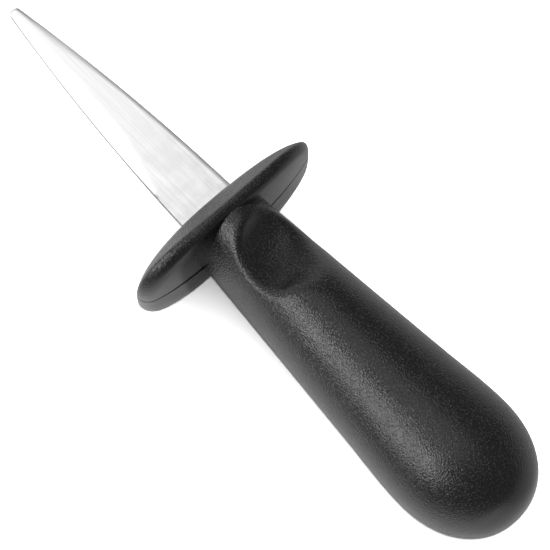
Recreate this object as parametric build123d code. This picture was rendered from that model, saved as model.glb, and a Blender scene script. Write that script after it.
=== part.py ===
from build123d import *
from math import copysign, cos, pi, sin
import os

# An oyster knife lying level on its guard and on the bulb of its handle.
# Each piece is drawn with the knife's long axis on X, the tip at +X, the middle of the guard's rim at x = 0
# and the seam between the upper and lower shells at z = 0. At the end all are moved into the part's own frame.
# Sizes are in millimetres and degrees.

# Blade
blade_length = 77.0
blade_width = 16.6
blade_belly = 1.2
ground_thickness = 1.8
ground_start = 0.4
tip_radius = 1.6
bevel_end_width = 2.4
bevel_slope = 14.0
ricasso_length = 13.8
plunge_radius = 6.0
back_chamfer = 0.35

# Tang, in one piece with the blade
sheet_thickness = 2.0
shoulder_depth = 1.4
tang_width = 9.5
tang_length = 70.0
tang_corner = 2.0

# Guard
guard_width = 58.2
guard_height = 36.2
guard_oval_power = 2.4
guard_lower_oval_power = 2.8
oval_points = 36
guard_front = 2.0
guard_sweep_radius = 300.0
guard_front_round = 2.6
guard_crown = 7.1
guard_rear_margin = 0.6
guard_barrel_radius = 62.0
guard_plan_power = 1.6
guard_plan_shares = (0.25, 0.45, 0.62, 0.76, 0.88, 0.96)

# Handle
seat_back = 5.6
handle_length = 99.0
neck_width = 22.2
neck_height = 33.8
shoulder_width = 32.6
shoulder_height = 34.4
cone_length = 56.0
bulb_diameter = 36.0
handle_steps = 11
cap_length = 22.6
cap_power = 2.15
cap_shares = (0.2, 0.4, 0.6, 0.78, 0.92)
wall = 2.8

# Thumb dish in the top of the handle
dish_back = 17.7
dish_floor_height = 10.3
dish_long_radius = 10.9
dish_cross_radius = 45.0
dish_turn = 14.6
dish_tilt = 9.0

# Inside the handle
solid_neck_length = 26.0
rib_pitch = 14.0
rib_thickness = 2.0
web_thickness = 2.0
peg_ribs = (1, 2, 4)
peg_diameter = 4.4
peg_length = 7.0
socket_room = 0.5
boss_diameter = 9.4

# Fits and seams
fit_clearance = 0.1
peg_hole_clearance = 0.2
guard_seam_left = 0.5
guard_seam_right = 0.3
guard_seam_tip = 0.16
guard_seam_depth = 0.9
handle_seam_width = 0.14
handle_seam_depth = 0.1
overrun = 1.0

tip_x = guard_front + blade_length
blade_shoulder_x = guard_front - shoulder_depth
tang_end_x = guard_front - tang_length
seat_x = -seat_back
cone_end_x = seat_x - cone_length
butt_x = seat_x - handle_length
bulb_x = butt_x + cap_length
hollow_x = seat_x - solid_neck_length
reach = tip_x - butt_x


def half_space(side):
    """A block that holds all that lies above (side 1) or below (side -1) the seam."""
    return Pos(0, 0, side * reach / 2) * Box(2 * reach, reach, reach)


def edge_half_width(x):
    """Half the width of the blade at x, on the straight line under its belly."""
    share = (x - guard_front) / (tip_x - tip_radius - guard_front)
    return blade_width / 2 + share * (tip_radius - blade_width / 2)


def blade_blank():
    """The flat blade with its tang, cut from sheet."""
    root_y = blade_width / 2
    nose_x = tip_x - tip_radius
    middle_x = (guard_front + nose_x) / 2
    middle_y = edge_half_width(middle_x) + blade_belly
    tang_y = tang_width / 2
    outline = [
        ThreePointArc((guard_front, root_y), (middle_x, middle_y), (nose_x, tip_radius)),
        ThreePointArc((nose_x, tip_radius), (tip_x, 0), (nose_x, -tip_radius)),
        ThreePointArc((nose_x, -tip_radius), (middle_x, -middle_y), (guard_front, -root_y)),
        Polyline(
            (guard_front, -root_y),
            (blade_shoulder_x, -root_y),
            (blade_shoulder_x, -tang_y),
            (tang_end_x, -tang_y),
            (tang_end_x, tang_y),
            (blade_shoulder_x, tang_y),
            (blade_shoulder_x, root_y),
            (guard_front, root_y),
        ),
    ]
    blank = extrude(make_face(outline), sheet_thickness / 2, both=True)
    corners = blank.edges().filter_by(Axis.Z).group_by(Axis.X)[0]
    return fillet(corners, tang_corner)


def ground_faces():
    """What is ground off both sides of the sheet in front of the guard."""
    start_x = guard_front + ground_start
    depth = (sheet_thickness - ground_thickness) / 2
    layer = Box(reach, reach, depth, align=(Align.MIN, Align.CENTER, Align.MIN))
    top = Pos(start_x, 0, ground_thickness / 2) * layer
    return top + mirror(top, Plane.XY)


def bevel_cutter():
    """What is ground off the top of the left edge, from the plunge to the tip."""
    plunge_x = guard_front + ricasso_length
    nose_x = tip_x - tip_radius
    start = Vector(plunge_x, edge_half_width(plunge_x) + blade_belly / 2)
    end = Vector(nose_x, tip_radius)
    along = (end - start).normalized()
    outward = Vector(-along.Y, along.X)
    ground = Plane(
        origin=start - outward * bevel_end_width + Vector(0, 0, ground_thickness / 2),
        x_dir=along,
        z_dir=Vector(0, 0, 1).rotate(Axis((0, 0, 0), along), -bevel_slope),
    )
    flat = Pos(reach / 2, 0, reach / 2) * Box(reach, reach, reach)
    plunge = Pos(0, 0, plunge_radius) * Rot(90, 0, 0) * Cylinder(plunge_radius, reach)
    return ground.location * (flat + plunge)


def blade():
    """The ground blade with its bevelled edge, and its tang with the holes for the pegs."""
    shape = blade_blank() - ground_faces()
    back = shape.edges().filter_by(GeomType.CIRCLE).filter_by(
        lambda edge: edge.length > blade_length / 2 and edge.center().Y < 0
    )
    shape = chamfer(back, back_chamfer)
    top_bevel = bevel_cutter()
    shape -= top_bevel
    shape -= mirror(top_bevel, Plane.XY)
    hole = Cylinder(peg_diameter / 2 + peg_hole_clearance, sheet_thickness + overrun)
    for x in peg_stations():
        if x > tang_end_x:
            shape -= Pos(x, 0, 0) * hole
    return shape


def guard_outline(half_width, half_height):
    """The face of the guard seen from the tip, fuller than an ellipse, most of all below."""
    points = []
    for number in range(oval_points):
        turn = 2 * pi * number / oval_points
        y, z = cos(turn), sin(turn)
        power = guard_oval_power if z > 0 else guard_lower_oval_power
        points.append(
            (
                half_width * copysign(abs(y) ** (2 / power), y),
                half_height * copysign(abs(z) ** (2 / power), z),
            )
        )
    return make_face(Spline(points, periodic=True))


def guard_rear_body(inset):
    """A barrel that bounds the crowned rear face of the guard."""
    half = guard_width / 2 + guard_rear_margin - inset
    crown = guard_crown - inset
    axis_x = guard_barrel_radius - guard_crown
    left = [
        (-crown * (1 - share**guard_plan_power) ** (1 / guard_plan_power), half * share)
        for share in guard_plan_shares
    ]
    right = [(x, -y) for x, y in reversed(left)]
    curve = Spline([(0, -half), *right, (-crown, 0), *left, (0, half)])
    frame = Polyline((0, half), (axis_x, half), (axis_x, -half), (0, -half))
    return revolve(make_face([curve, frame]), Axis((axis_x, 0, 0), (0, 1, 0)))


def guard_body(inset):
    """The oval guard, swept back a little in front and crowned behind, drawn in by inset."""
    front_x = guard_front - inset
    outline = Plane.YZ * guard_outline(guard_width / 2 - inset, guard_height / 2 - inset)
    disc = Pos(front_x, 0, 0) * extrude(outline, -guard_front - guard_crown)
    disc &= Pos(front_x - guard_sweep_radius, 0, 0) * Rot(0, 0, 180) * Sphere(guard_sweep_radius)
    disc = fillet(disc.faces().sort_by(Axis.X)[-1].edges(), guard_front_round)
    return disc & guard_rear_body(inset)


def guard_seam():
    """The open seam round the guard, widest beside the handle."""
    tip_y = guard_width / 2 + overrun
    wedges = []
    for side, width in ((1, guard_seam_left), (-1, guard_seam_right)):
        outline = Polyline(
            (0, width / 2),
            (side * tip_y, guard_seam_tip / 2),
            (side * tip_y, -guard_seam_tip / 2),
            (0, -width / 2),
            close=True,
        )
        wedges.append(extrude(Plane.YZ * make_face(outline), reach, both=True))
    return wedges[0] + wedges[1] - guard_body(guard_seam_depth)


def eased_half(x, neck, shoulder):
    """Half the width or height of the handle at x: a straight flank that eases into the bulb."""
    slope = (shoulder - neck) / 2 / cone_length
    straight = neck / 2 + slope * (seat_x - x)
    if x >= cone_end_x:
        return straight
    share = (cone_end_x - x) / (cone_end_x - bulb_x)
    run = slope * (cone_end_x - bulb_x)
    excess = shoulder / 2 + run - bulb_diameter / 2
    return straight - share**2 * (3 * excess - run + share * (run - 2 * excess))


def handle_body(inset, front_x=0):
    """The handle from front_x to the butt, an upright oval that grows into a round bulb, drawn in by inset."""
    sections = []
    for number in range(handle_steps + 1):
        x = front_x + (bulb_x - front_x) * number / handle_steps
        across = eased_half(x, neck_width, shoulder_width) - inset
        upward = eased_half(x, neck_height, shoulder_height) - inset
        oval = scale(Circle(across), by=(1, upward / across, 1))
        sections.append(Pos(x, 0, 0) * Plane.YZ.location * oval)
    return loft(sections) + handle_cap(inset)


def handle_cap(inset):
    """The round end of the handle behind the widest part of the bulb."""
    end_x = butt_x + inset
    bulb_r = bulb_diameter / 2 - inset
    cap = [
        (bulb_x + (end_x - bulb_x) * share, bulb_r * (1 - share**cap_power) ** (1 / cap_power))
        for share in cap_shares
    ]
    back = Spline([(bulb_x, bulb_r), *cap, (end_x, 0)], tangents=[(-1, 0), (0, -1)])
    base = Polyline((end_x, 0), (bulb_x, 0), (bulb_x, bulb_r))
    return revolve(make_face([back, base]), Axis.X)


def rib_stations():
    """Where the cross ribs stand in the hollow of the handle."""
    count = int((hollow_x - butt_x - wall) / rib_pitch)
    return [hollow_x - rib_pitch * number for number in range(1, count + 1)]


def peg_stations():
    """Where the pegs stand, each on a cross rib."""
    return [hollow_x - rib_pitch * number for number in peg_ribs]


def handle_pockets():
    """The hollows between the ribs, the web and the bosses."""
    shape = handle_body(wall, hollow_x)
    rib = Box(rib_thickness, reach, reach)
    for x in rib_stations():
        shape -= Pos(x, 0, 0) * rib
    shape -= Box(2 * reach, web_thickness, reach)
    boss = Cylinder(boss_diameter / 2, bulb_diameter)
    for x in peg_stations():
        shape -= Pos(x, 0, 0) * boss
    return shape


def thumb_dish():
    """The ring whose lowest part hollows the thumb dish out of the top of the handle."""
    ring = Rot(0, 90, 0) * Torus(dish_cross_radius - dish_long_radius, dish_long_radius)
    ring = Rot(dish_tilt, 0, 0) * Pos(0, 0, dish_cross_radius) * ring
    return Pos(-dish_back, 0, dish_floor_height) * Rot(0, 0, dish_turn) * ring


def tang_passage():
    """The space of the tang and of the blade's shoulder, with a clearance all round."""
    thickness = sheet_thickness + 2 * fit_clearance
    room = (Align.MAX, Align.CENTER, Align.CENTER)
    slot = Box(tang_length + fit_clearance, tang_width + 2 * fit_clearance, thickness, align=room)
    mouth_depth = shoulder_depth + fit_clearance + overrun
    mouth = Box(mouth_depth, blade_width + 2 * fit_clearance, thickness, align=room)
    return Pos(guard_front, 0, 0) * (slot + Pos(overrun, 0, 0) * mouth)


def handle_half(side):
    """The handle above (side 1) or below (side -1) the seam, hollowed, and stepped in beside its joint."""
    step = Pos(0, 0, side * handle_seam_width / 2)
    skin = handle_body(0) & step * half_space(side)
    lip = (handle_body(handle_seam_depth) & half_space(side)) - step * half_space(side)
    return skin + lip - handle_pockets() - tang_passage()


def guard_half(side):
    """The guard above (side 1) or below (side -1) the seam, with the room for the tang."""
    return (guard_body(0) & half_space(side)) - tang_passage() - guard_seam()


def upper_shell():
    """The upper shell, with the thumb dish and the pegs."""
    shape = handle_half(1) - thumb_dish() + guard_half(1)
    root = sheet_thickness + overrun
    peg = Cylinder(
        peg_diameter / 2, peg_length + root, align=(Align.CENTER, Align.CENTER, Align.MIN)
    )
    for x in peg_stations():
        shape += Pos(x, 0, -peg_length) * peg
    return shape


def lower_shell():
    """The lower shell, with the sockets for the pegs."""
    shape = handle_half(-1) + guard_half(-1)
    depth = peg_length + socket_room
    socket = Cylinder(
        peg_diameter / 2 + fit_clearance, depth, align=(Align.CENTER, Align.CENTER, Align.MAX)
    )
    for x in peg_stations():
        shape -= Pos(x, 0, 0) * socket
    return shape


to_frame = Pos(-(tip_x + butt_x) / 2, 0, max(guard_height, bulb_diameter) / 2)
pieces = {
    "blade": blade(),
    "upper_shell": upper_shell(),
    "lower_shell": lower_shell(),
}
os.makedirs("parts", exist_ok=True)
for name, piece in pieces.items():
    export_step(to_frame * piece, f"parts/{name}.step")
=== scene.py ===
import math

import bmesh
import bpy
import numpy as np
from mathutils import Matrix, Vector


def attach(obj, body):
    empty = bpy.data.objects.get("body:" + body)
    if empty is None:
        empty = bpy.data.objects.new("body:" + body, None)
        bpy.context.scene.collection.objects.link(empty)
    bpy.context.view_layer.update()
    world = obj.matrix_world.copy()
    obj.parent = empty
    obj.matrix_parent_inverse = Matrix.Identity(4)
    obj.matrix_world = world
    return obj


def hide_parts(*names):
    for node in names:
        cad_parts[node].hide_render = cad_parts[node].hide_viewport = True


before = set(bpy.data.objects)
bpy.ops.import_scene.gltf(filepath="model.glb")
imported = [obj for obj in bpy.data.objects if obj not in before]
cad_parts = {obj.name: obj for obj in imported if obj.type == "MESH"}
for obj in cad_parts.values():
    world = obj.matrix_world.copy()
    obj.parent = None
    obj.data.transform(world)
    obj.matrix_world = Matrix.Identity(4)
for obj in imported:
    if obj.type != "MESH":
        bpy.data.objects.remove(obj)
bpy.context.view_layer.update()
MM = 0.001

# The knife's own axes: x = 0 in the guard's rim, z = 0 in the seam. Lengths are in millimetres.
KNIFE_SHIFT = np.array([12.8, 0.0, 18.1])

# Camera, as fitted to the outline in the 550 pixel square photo
CAMERA_AZIMUTH = 136.0
CAMERA_ELEVATION = 71.07
CAMERA_ROLL = 0.736
CAMERA_DISTANCE = 734.4 * MM
CAMERA_TARGET = Vector((-6.38, -0.01, 18.06)) * MM
CAMERA_LENS = 193.9
SENSOR_WIDTH = 36.0

# Lamps: azimuth and elevation of the lamp, distance, size along and across the knife, radiance
KEY_SOFTBOX = ("key_softbox", 72.0, 36.0, 1.2, (0.8, 0.7), 6.0)
TOP_SOFTBOX = ("top_softbox", 0.0, 72.0, 1.6, (2.2, 1.0), 1.1)
FRONT_CARD = ("front_card", 0.0, 13.0, 1.4, (0.6, 1.8), 1.5)
WORLD_DIFFUSE = 0.55
WORLD_GLOSSY = 0.27

# Floor: its colour, and the painted light that gloss sees on it: how bright on the left, on the right and in
# front of the knife.
# Each range gives where a change starts and ends, in metres.
FLOOR_SIZE = 6.0
FLOOR_COLOR = 0.8
FLOOR_CAMERA_COLOR = 3.2
FLOOR_PAINTED_LIGHT_LEFT = 2.2
FLOOR_PAINTED_LIGHT_RIGHT = 0.36
FLOOR_PAINTED_LIGHT_FRONT = 1.5
FLOOR_PAINTED_LIGHT_FAR = 0.3
PAINTED_LIGHT_SIDES = (-0.06, 0.06)
PAINTED_LIGHT_FADE = (0.04, 0.12)
PAINTED_LIGHT_AHEAD = (0.02, 0.12)

# Painted shadow on the floor, as gloss sees it: dark in the corner under the guard and the neck
PAINTED_SHADOW_X = -0.002
PAINTED_SHADOW_ALONG = (0.010, 0.016)
PAINTED_SHADOW_ACROSS = (0.0125, 0.0155)
PAINTED_SHADOW_GLOSSY = 0.02

# Blade
TIP_X = 78.98
BLADE_ROOT_X = 0.6
BLADE_FRONT_X = 2.0
BLADE_HALF = 8.3
BLADE_BELLY = 1.2
TIP_RADIUS = 1.6
TIP_DROP = 0.5
HALF_THICKNESS = 0.9
LEAST_THICKNESS = 0.1

# Ground bevel on the blade's left edge
PLUNGE_X = 15.8
PLUNGE_LENGTH = 16.0
BEVEL_END_WIDTH = 2.4
BEVEL_WIDEN = 2.4
BEVEL_SHARE = 1.15
BEVEL_LARGEST_SHARE = 1.2
BEVEL_DEPTH = 0.55
BEVEL_FULL_WIDTH = 3.5
BEVEL_POWER = 1.7
EDGE_ROUND = 0.16

# Rounded back edge of the blade, broader near the tip
BACK_ROUND = 1.3
BACK_TIP_ROUND = 3.4
BACK_LARGEST_SHARE = 0.7
BACK_DROP = 0.075
BACK_TIP_DROP = 0.09
BACK_WIDEN_X = 40.0
BACK_WIDEN_LENGTH = TIP_X - 46.0

# Rings of the blade: closest together around the start of the bevel
FINE_START_X = 6.0
FINE_END_X = 17.0
FINE_STEP = 0.25
BLADE_STEP = 0.6

# Guard, upper half (1) and lower half (-1)
GUARD_HALF_WIDTH = 28.95
GUARD_HALF_HEIGHT = {1: 18.1, -1: 17.5}
GUARD_POWER = {1: 2.4, -1: 3.6}
GUARD_CENTRE_X = -2.4
GUARD_EDGE_ROUND = 1.6

# Front face of the guard
GUARD_FRONT = 2.95
GUARD_SWEEP_ACROSS = 190.0
GUARD_SWEEP_UP = 400.0
GUARD_YAW = 0.02
GUARD_YAW_LEFT_END = 29.0
GUARD_YAW_RIGHT_END = 32.0
GUARD_FRONT_ROUND = 1.2
GUARD_BEVEL = 4.5
GUARD_BEVEL_END = 0.6
GUARD_BEVEL_ROUND = 0.4
GUARD_RIM_CURVE = 0.18
GUARD_RIM_DEPTH = 6.0

# Rear face of the guard
GUARD_CROWN = 5.87
GUARD_REAR_HALF = 30.5
GUARD_PLAN_LEFT = 2.6
GUARD_PLAN_RIGHT = 1.8
GUARD_FLARE_LEFT = {1: 1.35, -1: 1.75}
GUARD_FLARE_RIGHT = {1: 0.75, -1: 1.45}
GUARD_FLARE_TOP = 0.8
GUARD_FLARE_WIDTH = 9.0
GUARD_FLARE_TURN = 10.0
GUARD_FLARE_POWER = 4
GUARD_FLARE_END_POWER = 8
GUARD_FLARE_REACH = 1.15

# Open seam of the guard
GUARD_GAP_LEFT = 2.0
GUARD_GAP_RIGHT = 1.1
GUARD_GAP_TIP = 0.4
GUARD_GAP_TAPER = 18.0
GUARD_GAP_POWER = 1.5
GUARD_GAP_DEPTH = 1.6
GUARD_GAP_LEAN = 0.3
GUARD_GAP_LARGEST_SHARE = 0.6

# Handle
HANDLE_FRONT_X = -1.0
SEAT_X = -5.6
CONE_END_X = -61.6
BULB_X = -82.0
BUTT_X = -104.58
NECK_HALF = (11.1, 16.9)
SHOULDER_HALF = (16.3, 17.2)
BULB_RADIUS = 18.0
CAP_POWER = 2.15
RING_STEP = 0.5
SEAM_WIDTH = 0.14
SEAM_DEPTH = 0.1

# Thumb dish
DISH_X = -18.4
DISH_Y = -1.1
DISH_FLOOR = 10.3
DISH_LONG = 10.9
DISH_CROSS = 45.0
DISH_TURN = math.radians(14.6)
DISH_TILT = math.radians(9.0)
DISH_RIM_BLEND = 1.6
DISH_SOFT_BLEND = 7.0
DISH_SOFT_X = -12.0
DISH_SOFT_LENGTH = 10.0
DISH_SOFT_Y = 5.0
DISH_SOFT_WIDTH = 9.0
DISH_REACH = (-38.0, -2.0)
DISH_RINGS = (-6.0, -30.0)
DISH_RING_STEP = 0.12

# Black moulded plastic: size and height of the grain, roughness, and roughness facing the butt.
# Tones are linear, and a range gives where a change starts and ends.
GRAIN = {
    "handle_plastic": (0.4 * MM, 0.16 * MM, 0.23, 0.23),
    "guard_plastic": (0.36 * MM, 0.14 * MM, 0.23, 0.22),
}
GRAIN_DETAIL = 1.0
PLASTIC_IOR = 1.49
PLASTIC_TONE = (0.003, 0.003, 0.0032, 1.0)
# Light specks that follow the pebble grain: the grain is the plastic's own, their light tone is a painted
# glint.
GLINT_SPECK_TONE = (0.045, 0.045, 0.046, 1.0)
GLINT_SPECK_RANGE = (0.54, 0.74)
GLINT_SPECK_LEAST = 0.6
PATCH_SCALE = 90.0
PATCH_DETAIL = 3.0
PATCH_RANGE = (0.3, 0.7)
PATCH_ROUGHNESS = (-0.04, 0.05)
REAR_NORMAL = (-0.45, -0.8)
REAR_GRAIN = 0.2
REAR_GLINT_SPECK = 0.25

# Ground steel. Its tones include a painted highlight on the bevel and painted shade on the edges.
STEEL_TONE = (0.77, 0.77, 0.77, 1.0)
DARK_PATCH_TONE = (0.60, 0.60, 0.60, 1.0)
# Painted highlight: the bevel, which faces left, is made lighter
BEVEL_HIGHLIGHT_TONE = (0.92, 0.92, 0.92, 1.0)
# Painted shade: steep edges that face left or forward are darkened to draw an outline
EDGE_SHADE_TONE = (0.2, 0.2, 0.2, 1.0)
STEEL_ROUGHNESS = (0.18, 0.26)
GRIND_STRETCH = (50.0, 3500.0, 400.0)
GRIND_DEPTH = 0.012 * MM
GRIND_STRENGTH = 0.12
GRIND_RANGE = (0.3, 0.7)
GRIND_DETAIL = 4.0
# Darker patches that fade out forwards from the guard
DARK_PATCH_SCALE = 180.0
DARK_PATCH_RANGE = (0.35, 0.65)
DARK_PATCH_DETAIL = 3.0
DARK_PATCH_X = (0.052, 0.016)
BEVEL_HIGHLIGHT_NORMAL = (-0.02, 0.2)
SHADE_STEEP_NORMAL = (0.93, 0.8)
SHADE_LEFT_NORMAL = (0.1, 0.3)
SHADE_FRONT_NORMAL = (0.2, 0.4)
# A small dark spot at the left edge, in the painted edge-shade tone
DARK_SPOT_PLACE = Vector((28.7, 7.6, 0.0)) * MM
DARK_SPOT_STRETCH = (0.5, 1.2, 0.0)
DARK_SPOT_REACH = (0.55 * MM, 0.25 * MM)
DARK_SPOT_STRENGTH = 0.5


# Surfaces


def soft_max(a, b, blend):
    """The larger of a and b, rounded where they are alike."""
    h = np.clip(1 - np.abs(a - b) / blend, 0, 1)
    return np.maximum(a, b) + h * h * blend / 4


def eased_half(x, neck, shoulder):
    """Half the width or height of the handle at x: a straight flank that eases into the bulb."""
    length = SEAT_X - CONE_END_X
    slope = (shoulder - neck) / length
    straight = neck + slope * (SEAT_X - x)
    share = np.clip((CONE_END_X - x) / (CONE_END_X - BULB_X), 0, 1)
    run = slope * (CONE_END_X - BULB_X)
    excess = shoulder + run - BULB_RADIUS
    return straight - share**2 * (3 * excess - run + share * (run - 2 * excess))


def dish_distance(x, y, z):
    """Signed distance to the ring that hollows the thumb dish, below zero inside it."""
    px, py, pz = x - DISH_X, y - DISH_Y, z - DISH_FLOOR
    c, s = math.cos(DISH_TURN), math.sin(DISH_TURN)
    qx, qy = c * px + s * py, -s * px + c * py
    c, s = math.cos(DISH_TILT), math.sin(DISH_TILT)
    qy, qz = c * qy + s * pz, -s * qy + c * pz
    ring = np.hypot(qy, qz - DISH_CROSS) - (DISH_CROSS - DISH_LONG)
    return np.hypot(ring, qx) - DISH_LONG


def dish_blend(x, y):
    """How softly the dish's rim is rounded: crisp on the left, soft behind and on the right."""
    behind = np.clip((DISH_SOFT_X - x) / DISH_SOFT_LENGTH, 0, 1)
    away = behind * np.clip((DISH_SOFT_Y - y) / DISH_SOFT_WIDTH, 0, 1)
    return DISH_RIM_BLEND + (DISH_SOFT_BLEND - DISH_RIM_BLEND) * away * away * (3 - 2 * away)


def bisect(field, low, high, steps=34):
    """Where field turns from below zero to above it between low and high."""
    for _ in range(steps):
        middle = (low + high) / 2
        inside = field(middle) < 0
        low = np.where(inside, middle, low)
        high = np.where(inside, high, middle)
    return (low + high) / 2


# Meshes


def build(name, points, faces, material, sharp=40.0):
    """A mesh object from knife coordinates in millimetres, with edges sharper than sharp degrees kept."""
    mesh = bpy.data.meshes.new(name)
    places = (np.asarray(points) + KNIFE_SHIFT) * MM
    mesh.from_pydata(places.tolist(), [], [tuple(int(i) for i in face) for face in faces])
    work = bmesh.new()
    work.from_mesh(mesh)
    bmesh.ops.recalc_face_normals(work, faces=work.faces)
    work.to_mesh(mesh)
    work.free()
    mesh.validate()
    mesh.shade_smooth()
    mesh.set_sharp_from_angle(angle=math.radians(sharp))
    item = bpy.data.objects.new(name, mesh)
    bpy.context.scene.collection.objects.link(item)
    mesh.materials.append(material)
    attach(item, "root")
    return item


def close_tube(rows, columns):
    """Faces of a closed tube of rings, with a flat cap at the first and a pole after the last."""
    faces = []
    for row in range(rows - 1):
        a = row * columns
        for column in range(columns):
            after = (column + 1) % columns
            faces.append((a + column, a + after, a + columns + after, a + columns + column))
    faces.append(tuple(range(columns - 1, -1, -1)))
    pole = rows * columns
    last = (rows - 1) * columns
    for column in range(columns):
        faces.append((last + column, last + (column + 1) % columns, pole))
    return faces


def handle_stations():
    """x and the two half sizes of the handle at each ring, closest together in the dish."""
    x = np.concatenate([
        np.arange(HANDLE_FRONT_X, DISH_RINGS[0], -RING_STEP),
        np.arange(DISH_RINGS[0], DISH_RINGS[1], -DISH_RING_STEP),
        np.arange(DISH_RINGS[1], BULB_X, -RING_STEP),
    ])
    across = eased_half(x, NECK_HALF[0], SHOULDER_HALF[0])
    upward = eased_half(x, NECK_HALF[1], SHOULDER_HALF[1])
    turn = np.radians(np.concatenate([np.arange(0, 84, 1.5), [84, 86, 87.5, 88.7, 89.5]]))
    cap_x = BULB_X + (BUTT_X - BULB_X) * np.sin(turn) ** (2 / CAP_POWER)
    cap_r = BULB_RADIUS * np.cos(turn) ** (2 / CAP_POWER)
    return np.concatenate([x, cap_x]), np.concatenate([across, cap_r]), np.concatenate([upward, cap_r])


def handle_half(side, columns=150):
    """Points and faces of the handle above (side 1) or below (side -1) the seam."""
    x, across, upward = handle_stations()
    turn = np.linspace(0, math.pi, columns)[None, :]
    y = across[:, None] * np.cos(turn)
    z = side * upward[:, None] * np.sin(turn)
    far = np.hypot(y, z)
    cy, cz = y / far, z / far
    xs = np.repeat(x[:, None], columns, axis=1)
    radius = far
    if side > 0:
        blend = dish_blend(xs, y)

        def field(r):
            return soft_max(r - far, -dish_distance(xs, r * cy, r * cz), blend)

        carved = bisect(field, np.full_like(far, 2.0), far + 0.01)
        radius = np.where((xs > DISH_REACH[0]) & (xs < DISH_REACH[1]), carved, far)
    y, z = radius * cy, radius * cz
    half_gap = side * SEAM_WIDTH / 2
    z = side * np.maximum(side * z, SEAM_WIDTH / 2)
    inner = np.maximum(across - SEAM_DEPTH, 0.02)
    rows = []
    for i in range(len(x)):
        skin = np.stack([xs[i], y[i], z[i]], axis=1)
        left = [(x[i], inner[i], 0.0), (x[i], inner[i], half_gap)]
        right = [(x[i], -inner[i], half_gap), (x[i], -inner[i], 0.0)]
        rows.append(np.concatenate([left, skin, right]))
    points = np.concatenate(rows + [np.array([[BUTT_X, 0.0, 0.0]])])
    return points, close_tube(len(rows), columns + 4)


def guard_front_x(y, z):
    """The front face, swept back towards its rim and a little further forward on the left."""
    yaw = GUARD_YAW * y * np.where(y > 0, 1 - (y / GUARD_YAW_LEFT_END) ** 4, 1 + y / GUARD_YAW_RIGHT_END)
    return GUARD_FRONT - y**2 / (2 * GUARD_SWEEP_ACROSS) - z**2 / (2 * GUARD_SWEEP_UP) + yaw


def guard_rear_x(y, z, side):
    """The crowned rear face, which flares forward towards the rim."""
    share = np.clip(np.abs(y) / GUARD_REAR_HALF, 0, 1)
    bow = np.where(y > 0, GUARD_PLAN_LEFT, GUARD_PLAN_RIGHT)
    plan = GUARD_CROWN * (1 - share**bow) ** (1 / bow)
    power = GUARD_POWER[side]
    aside = np.clip(np.abs(y) / GUARD_HALF_WIDTH, 0, 0.98)
    height = GUARD_HALF_HEIGHT[side] * (1 - aside**power) ** (1 / power)
    left = np.clip(0.5 + y / GUARD_FLARE_TURN, 0, 1)
    flare = left * GUARD_FLARE_LEFT[side] + (1 - left) * GUARD_FLARE_RIGHT[side]
    flare = flare + GUARD_FLARE_TOP * np.exp(-((y / GUARD_FLARE_WIDTH) ** 2))
    rise = np.clip(np.abs(z) / height, 0, GUARD_FLARE_REACH) ** GUARD_FLARE_POWER
    return flare * (1 - aside**GUARD_FLARE_END_POWER) * rise - plan


def guard_field(x, y, z, side):
    """Below zero inside the guard."""
    front = x - guard_front_x(y, z)
    step = 0.05
    slope = (guard_rear_x(y + step, z, side) - guard_rear_x(y - step, z, side)) / (2 * step)
    rear = (guard_rear_x(y, z, side) - x) / np.sqrt(1 + slope**2)
    power, height = GUARD_POWER[side], GUARD_HALF_HEIGHT[side]
    a, b = np.abs(y) / GUARD_HALF_WIDTH, np.abs(z) / height
    level = (a**power + b**power) ** (1 / power)
    grad = np.hypot(a ** (power - 1) / GUARD_HALF_WIDTH, b ** (power - 1) / height)
    rim = (level - 1) * level ** (power - 1) / np.maximum(grad, 1e-6)
    width = GUARD_BEVEL_END + (GUARD_BEVEL - GUARD_BEVEL_END) * np.clip(1 - a**2, 0, 1)
    bevel = (front + rim + width) / math.sqrt(2)
    rim = rim + GUARD_RIM_CURVE / 2 * np.clip(-front - width, 0, GUARD_RIM_DEPTH) ** 2
    edge = soft_max(soft_max(front, bevel, GUARD_FRONT_ROUND), rim, GUARD_BEVEL_ROUND)
    return soft_max(edge, rear, GUARD_EDGE_ROUND)


def guard_gap(y):
    """Half the width of the open seam at y."""
    neck = np.where(y > 0, GUARD_GAP_LEFT, GUARD_GAP_RIGHT)
    inward = np.clip((GUARD_HALF_WIDTH - np.abs(y)) / GUARD_GAP_TAPER, 0, 1)
    return (GUARD_GAP_TIP + (neck - GUARD_GAP_TIP) * inward**GUARD_GAP_POWER) / 2


def guard_half(side, columns=241):
    """A net of points over the guard above (side 1) or below (side -1) the seam: front, rim, then rear."""
    power = GUARD_POWER[side]
    fine = np.linspace(0, math.pi, 4001)
    c, s = np.cos(fine), np.sin(fine)
    ry = GUARD_HALF_WIDTH * np.sign(c) * np.abs(c) ** (2 / power)
    rz = side * GUARD_HALF_HEIGHT[side] * np.abs(s) ** (2 / power)
    length = np.concatenate([[0], np.cumsum(np.hypot(np.diff(ry), np.diff(rz)))])
    even = np.linspace(0, length[-1], columns)
    ry, rz = np.interp(even, length, ry), np.interp(even, length, rz)
    shares = np.sin(np.linspace(0.03, math.pi / 2, 48)) * 0.995
    front = np.stack([guard_front_x(k * ry, k * rz) for k in shares])
    rear = np.stack([guard_rear_x(k * ry, k * rz, side) for k in shares])
    steps = np.linspace(0, 1, 16)[1:-1]
    rim = np.stack([front[-1] + (rear[-1] - front[-1]) * t for t in steps])
    scale = np.concatenate([shares, np.ones(len(steps)), shares[::-1]])
    rough_x = np.concatenate([front, rim, rear[::-1]])
    rough_y, rough_z = scale[:, None] * ry[None, :], scale[:, None] * rz[None, :]
    dx = rough_x - GUARD_CENTRE_X

    def field(t):
        return guard_field(GUARD_CENTRE_X + t * dx, t * rough_y, t * rough_z, side)

    t = bisect(field, np.full_like(dx, 0.3), np.full_like(dx, 1.2))
    x, y, z = GUARD_CENTRE_X + t * dx, t * rough_y, t * rough_z
    return x, y, side * np.maximum(side * z, guard_gap(y))


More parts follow.
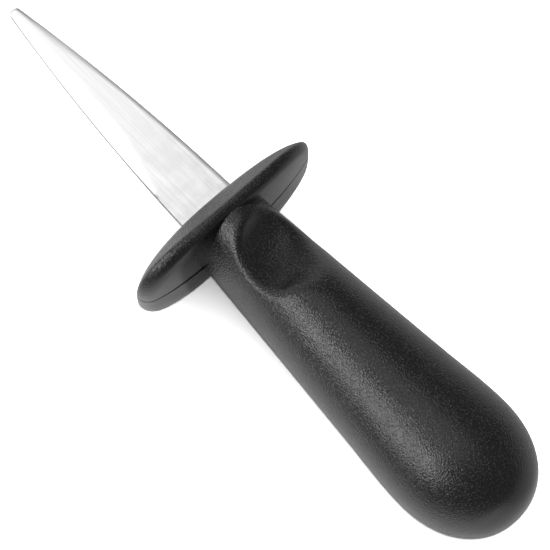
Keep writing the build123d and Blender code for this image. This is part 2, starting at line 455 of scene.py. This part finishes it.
def guard_mesh(side):
    """Points and faces of one closed half of the guard, with a tapered groove along its parting face."""
    x, y, z = guard_half(side)
    rows, columns = x.shape
    grid = np.stack([x, y, z], axis=-1)
    points = [grid.reshape(-1, 3)]
    faces = []
    for row in range(rows):
        a, b = row * columns, (row + 1) % rows * columns
        faces += [(a + c, a + c + 1, b + c + 1, b + c) for c in range(columns - 1)]
    start = rows * columns
    for column, outward in ((0, 1), (columns - 1, -1)):
        outer = grid[:, column]
        away = (outer[::-1] - outer) / 2
        away[:, 1] = -outward * GUARD_GAP_LEAN
        away[:, 2] = 0
        size = np.linalg.norm(away, axis=1)
        inner = outer + away * np.minimum(GUARD_GAP_DEPTH / size, GUARD_GAP_LARGEST_SHARE)[:, None]
        joint = inner * np.array([1.0, 1.0, 0.0])
        points += [inner, joint]
        for row in range(rows):
            after = (row + 1) % rows
            faces.append((row * columns + column, after * columns + column, start + after, start + row))
            faces.append((start + row, start + after, start + rows + after, start + rows + row))
        start += rows
        for row in range(rows // 2 - 1):
            faces.append((start + row, start + row + 1, start + rows - 2 - row, start + rows - 1 - row))
        start += rows
    return np.concatenate(points), faces


def blade_half_width(x):
    """Half the width of the blade at x: two long arcs that meet the round tip."""
    nose = TIP_X - TIP_RADIUS
    span = nose - BLADE_FRONT_X
    share = (x - BLADE_FRONT_X) / span
    width = BLADE_HALF + share * (TIP_RADIUS - BLADE_HALF) + 4 * BLADE_BELLY * share * (1 - share)
    width = np.where(x < BLADE_FRONT_X, BLADE_HALF, width)
    tip = np.sqrt(np.clip(TIP_RADIUS**2 - np.maximum(x - nose, 0) ** 2, 0, None))
    return np.where(x > nose, tip, width)


def bevel_share(x):
    """How far the bevel has grown at x: it starts abruptly in front of the guard and widens forwards."""
    return math.sqrt(min(max((x - PLUNGE_X) / PLUNGE_LENGTH, 0.0), 1.0))


def bevel_width(x):
    """Full width of the ground bevel on the left edge at x, widest in the middle."""
    share = np.clip((x - BLADE_FRONT_X) / (TIP_X - BLADE_FRONT_X), 0, 1)
    return BEVEL_END_WIDTH + BEVEL_WIDEN * 4 * share * (1 - share)


def back_round(x):
    """Width and depth of the rounding of the right edge at x: narrow, and broad near the tip."""
    share = min(max((x - BACK_WIDEN_X) / BACK_WIDEN_LENGTH, 0.0), 1.0) ** 2
    return BACK_ROUND + (BACK_TIP_ROUND - BACK_ROUND) * share, BACK_DROP + (BACK_TIP_DROP - BACK_DROP) * share


def blade_section(x, wide):
    """Half a cross section of the blade at x, from its left edge to its right edge: y and z."""
    grown = bevel_share(x)
    width = max(min(bevel_width(x), BEVEL_SHARE * wide) * grown, 2 * EDGE_ROUND)
    width = min(width, BEVEL_LARGEST_SHARE * wide)
    round_off, fallen = back_round(x)
    round_off = min(round_off, BACK_LARGEST_SHARE * wide)
    flat = 2 * wide - width - round_off
    share = np.linspace(0, 1, 13)
    edge = np.concatenate([
        [0.0, EDGE_ROUND],
        EDGE_ROUND + (width - EDGE_ROUND) * share[1:],
        width + flat * np.linspace(0, 1, 12)[1:-1],
        2 * wide - round_off * share[::-1],
    ])
    run = np.clip(width - edge, 0, None)
    drop = BEVEL_DEPTH * grown * min(1.0, width / BEVEL_FULL_WIDTH) * (run / width) ** BEVEL_POWER
    fall = np.clip(1 - (2 * wide - edge) / max(round_off, 0.01), 0, 1)
    drop = np.maximum(drop, fallen * fall**2) + np.clip(EDGE_ROUND - edge, 0, None)
    return wide - edge, HALF_THICKNESS - np.clip(drop, 0, HALF_THICKNESS - LEAST_THICKNESS)


def blade_mesh():
    """Points and faces of the blade in front of the guard, ground on both sides."""
    nose = TIP_X - TIP_RADIUS
    turn = np.radians(np.linspace(0, 90, 14))[:-1]
    x = np.concatenate([
        np.linspace(BLADE_ROOT_X, FINE_START_X, 6)[:-1],
        np.arange(FINE_START_X, FINE_END_X, FINE_STEP),
        np.arange(FINE_END_X, nose, BLADE_STEP),
        nose + TIP_RADIUS * np.sin(turn),
    ])
    rows = []
    for place, wide in zip(x, blade_half_width(x)):
        y, z = blade_section(place, wide)
        top = np.stack([np.full_like(y, place), y, z], axis=1)
        top[:, 2] -= TIP_DROP * np.clip((place - nose) / TIP_RADIUS, 0, 1) ** 3
        rows.append(np.concatenate([top, top[::-1] * np.array([1.0, 1.0, -1.0])]))
    points = np.concatenate(rows + [np.array([[TIP_X, 0.0, 0.0]])])
    return points, close_tube(len(rows), len(rows[0]))


# Materials


class Nodes:
    """Adds and links shader nodes in one tree."""

    def __init__(self, tree):
        self.tree = tree
        tree.nodes.clear()

    def put(self, value, socket):
        """Link the value to the socket if it is another node's output, or else set it."""
        if isinstance(value, bpy.types.NodeSocket):
            self.tree.links.new(value, socket)
        else:
            socket.default_value = value

    def add(self, kind, inputs=None, **settings):
        node = self.tree.nodes.new(kind)
        for name, value in settings.items():
            setattr(node, name, value)
        for name, value in (inputs or {}).items():
            self.put(value, node.inputs[name])
        return node

    def math(self, operation, first, second=0.0):
        node = self.add("ShaderNodeMath", operation=operation)
        self.put(first, node.inputs[0])
        self.put(second, node.inputs[1])
        return node.outputs[0]

    def vector_math(self, operation, first, second=(0.0, 0.0, 0.0)):
        return self.add("ShaderNodeVectorMath", {0: first, 1: second}, operation=operation)

    def ramp(self, value, between, results=(0.0, 1.0)):
        """Map the value from one range to another, and hold it beyond the ends."""
        inputs = {"Value": value, "From Min": between[0], "From Max": between[1]}
        inputs |= {"To Min": results[0], "To Max": results[1]}
        return self.add("ShaderNodeMapRange", inputs).outputs["Result"]

    def noise(self, place, scale, detail):
        inputs = {"Vector": place, "Scale": scale, "Detail": detail}
        return self.add("ShaderNodeTexNoise", inputs).outputs["Fac"]

    def blend(self, factor, first, second):
        """Mix two colours."""
        node = self.add("ShaderNodeMix", {"Factor": factor}, data_type="RGBA")
        self.put(first, node.inputs[6])
        self.put(second, node.inputs[7])
        return node.outputs[2]

    def coordinates(self, kind):
        return self.add("ShaderNodeTexCoord").outputs[kind]

    def parts(self, vector):
        """The X, Y and Z of a vector."""
        return self.add("ShaderNodeSeparateXYZ", {"Vector": vector}).outputs

    def end(self, shader, output="ShaderNodeOutputMaterial"):
        self.put(shader.outputs[0], self.add(output).inputs["Surface"])


def new_material(name):
    material = bpy.data.materials.new(name)
    material.use_nodes = True
    return material, Nodes(material.node_tree)


def plastic(name):
    """Black moulded polypropylene with a fine pebble grain and light specks painted on it as glints, smoother
    where it faces the butt squarely.
    """
    grain_size, grain_height, roughness, rear_roughness = GRAIN[name]
    material, n = new_material(name)
    place = n.coordinates("Object")
    grain = n.noise(place, 1.0 / grain_size, GRAIN_DETAIL)
    patch = n.noise(place, PATCH_SCALE, PATCH_DETAIL)
    rear = n.ramp(n.parts(n.coordinates("Normal"))["X"], REAR_NORMAL)
    bump = n.add("ShaderNodeBump", {
        "Height": grain,
        "Strength": n.ramp(rear, (0.0, 1.0), (1.0, REAR_GRAIN)),
        "Distance": grain_height,
    })
    smoothness = n.ramp(rear, (0.0, 1.0), (roughness, rear_roughness))
    # Painted glints: lighter specks on the grain, fewer where the surface faces the butt.
    glint_speck = n.math("MULTIPLY", n.ramp(patch, PATCH_RANGE, (GLINT_SPECK_LEAST, 1.0)), n.ramp(grain, GLINT_SPECK_RANGE))
    glint_speck = n.math("MULTIPLY", glint_speck, n.ramp(rear, (0.0, 1.0), (1.0, REAR_GLINT_SPECK)))
    n.end(n.add("ShaderNodeBsdfPrincipled", {
        "Base Color": n.blend(glint_speck, PLASTIC_TONE, GLINT_SPECK_TONE),
        "Roughness": n.math("ADD", n.ramp(patch, PATCH_RANGE, PATCH_ROUGHNESS), smoothness),
        "Normal": bump.outputs["Normal"],
        "IOR": PLASTIC_IOR,
    }))
    return material


def steel(name):
    """Stainless steel ground lengthwise, with darker patches that fade out forwards from the guard, a painted
    highlight on the left-facing bevel, painted shade on its steep left and front edges, and a small dark spot
    on the left edge.
    """
    material, n = new_material(name)
    place = n.coordinates("Object")
    normal = n.parts(n.coordinates("Normal"))
    stretch = n.add("ShaderNodeMapping", {"Vector": place, "Scale": GRIND_STRETCH})
    lines = n.noise(stretch.outputs["Vector"], 1.0, GRIND_DETAIL)
    bump = n.add("ShaderNodeBump", {"Height": lines, "Strength": GRIND_STRENGTH, "Distance": GRIND_DEPTH})
    cloud = n.ramp(n.noise(place, DARK_PATCH_SCALE, DARK_PATCH_DETAIL), DARK_PATCH_RANGE)
    dark_patches = n.math("MULTIPLY", n.ramp(n.parts(place)["X"], DARK_PATCH_X), cloud)
    tone = n.blend(dark_patches, STEEL_TONE, DARK_PATCH_TONE)
    # Painted highlight on the left-facing bevel
    tone = n.blend(n.ramp(normal["Y"], BEVEL_HIGHLIGHT_NORMAL), tone, BEVEL_HIGHLIGHT_TONE)
    # Painted shade on steep edges that face left or forward
    steep = n.ramp(n.math("ABSOLUTE", normal["Z"]), SHADE_STEEP_NORMAL)
    outward = n.math("MAXIMUM", n.ramp(normal["Y"], SHADE_LEFT_NORMAL), n.ramp(normal["X"], SHADE_FRONT_NORMAL))
    tone = n.blend(n.math("MULTIPLY", steep, outward), tone, EDGE_SHADE_TONE)
    # A small dark spot at the left edge, in the painted edge-shade tone
    away = n.vector_math("SUBTRACT", place, DARK_SPOT_PLACE).outputs[0]
    away = n.vector_math("LENGTH", n.vector_math("MULTIPLY", away, DARK_SPOT_STRETCH).outputs[0]).outputs[1]
    n.end(n.add("ShaderNodeBsdfPrincipled", {
        "Base Color": n.blend(n.ramp(away, DARK_SPOT_REACH, (0.0, DARK_SPOT_STRENGTH)), tone, EDGE_SHADE_TONE),
        "Metallic": 1.0,
        "Roughness": n.ramp(lines, GRIND_RANGE, STEEL_ROUGHNESS),
        "Normal": bump.outputs["Normal"],
    }))
    return material


# Studio


def make_floor():
    """A white floor. For gloss its colour carries painted light, brighter on the left and in front, and a
    painted shadow in the corner at the guard.
    """
    half = FLOOR_SIZE / 2
    mesh = bpy.data.meshes.new("studio_floor")
    corners = [(-half, -half, 0), (half, -half, 0), (half, half, 0), (-half, half, 0)]
    mesh.from_pydata(corners, [], [(0, 1, 2, 3)])
    floor = bpy.data.objects.new("studio_floor", mesh)
    bpy.context.scene.collection.objects.link(floor)
    material, n = new_material("studio_floor")
    path = n.add("ShaderNodeLightPath").outputs
    seen = n.ramp(path["Is Camera Ray"], (0.0, 1.0), (FLOOR_COLOR, FLOOR_CAMERA_COLOR))
    place = n.parts(n.coordinates("Object"))
    away = n.math("ABSOLUTE", place["Y"])
    # Painted light for gloss: the floor brighter on the left than on the right, dimmer far to the sides, and
    # brighter in front.
    aside = n.ramp(place["Y"], PAINTED_LIGHT_SIDES, (FLOOR_PAINTED_LIGHT_RIGHT, FLOOR_PAINTED_LIGHT_LEFT))
    aside = n.math("MULTIPLY", aside, n.ramp(away, PAINTED_LIGHT_FADE, (1.0, FLOOR_PAINTED_LIGHT_FAR)))
    # Painted shadow for gloss in the corner under the guard and the neck
    along = n.ramp(n.math("ABSOLUTE", n.math("ADD", place["X"], -PAINTED_SHADOW_X)), PAINTED_SHADOW_ALONG)
    across = n.ramp(away, PAINTED_SHADOW_ACROSS, (PAINTED_SHADOW_GLOSSY, 1.0))
    aside = n.math("MULTIPLY", aside, n.math("MAXIMUM", along, across))
    ahead = n.ramp(place["X"], PAINTED_LIGHT_AHEAD, (0.0, FLOOR_PAINTED_LIGHT_FRONT))
    glossy = n.math("MULTIPLY", path["Is Glossy Ray"], n.math("ADD", aside, ahead))
    shade = n.math("MAXIMUM", seen, glossy)
    color = n.add("ShaderNodeCombineColor", {"Red": shade, "Green": shade, "Blue": shade})
    n.end(n.add("ShaderNodeBsdfDiffuse", {"Color": color.outputs["Color"]}))
    mesh.materials.append(material)
    return floor


def direction(azimuth, elevation):
    a, e = math.radians(azimuth), math.radians(elevation)
    return Vector((math.cos(a) * math.cos(e), math.sin(a) * math.cos(e), math.sin(e)))


def make_world():
    """A plain studio: even light on matt surfaces, darker where gloss would mirror the walls."""
    world = bpy.data.worlds.new("studio")
    bpy.context.scene.world = world
    world.use_nodes = True
    n = Nodes(world.node_tree)
    glossy = n.add("ShaderNodeLightPath").outputs["Is Glossy Ray"]
    strength = n.ramp(glossy, (0.0, 1.0), (WORLD_DIFFUSE, WORLD_GLOSSY))
    light = n.add("ShaderNodeBackground", {"Color": (1, 1, 1, 1), "Strength": strength})
    n.end(light, "ShaderNodeOutputWorld")


def make_lamp(name, azimuth, elevation, distance, size, radiance):
    """A softbox that looks at the knife. Its size is along the knife's axis and across it."""
    lamp = bpy.data.lights.new(name, "AREA")
    lamp.shape = "RECTANGLE"
    lamp.size, lamp.size_y = size
    lamp.energy = radiance * math.pi * size[0] * size[1]
    item = bpy.data.objects.new(name, lamp)
    back = direction(azimuth, elevation)
    side = Vector((0, 1, 0)).cross(back).normalized()
    turn = Matrix((side, back.cross(side), back)).transposed()
    item.matrix_world = Matrix.Translation(CAMERA_TARGET + back * distance) @ turn.to_4x4()
    bpy.context.scene.collection.objects.link(item)
    return item


def leave_out(lamp, thing):
    """The lamp doesn't light that thing."""
    group = bpy.data.collections.new(lamp.name + "_lights_not")
    group.objects.link(thing)
    lamp.light_linking.receiver_collection = group
    group.collection_objects[0].light_linking.link_state = "EXCLUDE"


def make_camera():
    data = bpy.data.cameras.new("camera")
    data.sensor_width = SENSOR_WIDTH
    data.lens = CAMERA_LENS
    data.clip_start = 0.05
    data.clip_end = 20.0
    camera = bpy.data.objects.new("camera", data)
    back = direction(CAMERA_AZIMUTH, CAMERA_ELEVATION)
    turn = back.to_track_quat("Z", "Y").to_matrix() @ Matrix.Rotation(math.radians(CAMERA_ROLL), 3, "Z")
    camera.matrix_world = Matrix.Translation(CAMERA_TARGET + back * CAMERA_DISTANCE) @ turn.to_4x4()
    bpy.context.scene.collection.objects.link(camera)
    bpy.context.scene.camera = camera


# The knife


def make_knife():
    handle_black = plastic("handle_plastic")
    guard_black = plastic("guard_plastic")
    for side, node in ((1, "upper_shell"), (-1, "lower_shell")):
        handle = build(node + "_handle", *handle_half(side), handle_black)
        guard = build(node + "_guard", *guard_mesh(side), guard_black)
        for piece in (handle, guard):
            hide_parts(node)
    blade = build("blade_ground", *blade_mesh(), steel("blade_steel"), sharp=30.0)
    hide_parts("blade")


bpy.context.scene.view_settings.view_transform = "Standard"
make_camera()
floor = make_floor()
make_world()
leave_out(make_lamp(*KEY_SOFTBOX), floor)
make_lamp(*TOP_SOFTBOX)
make_lamp(*FRONT_CARD)
make_knife()
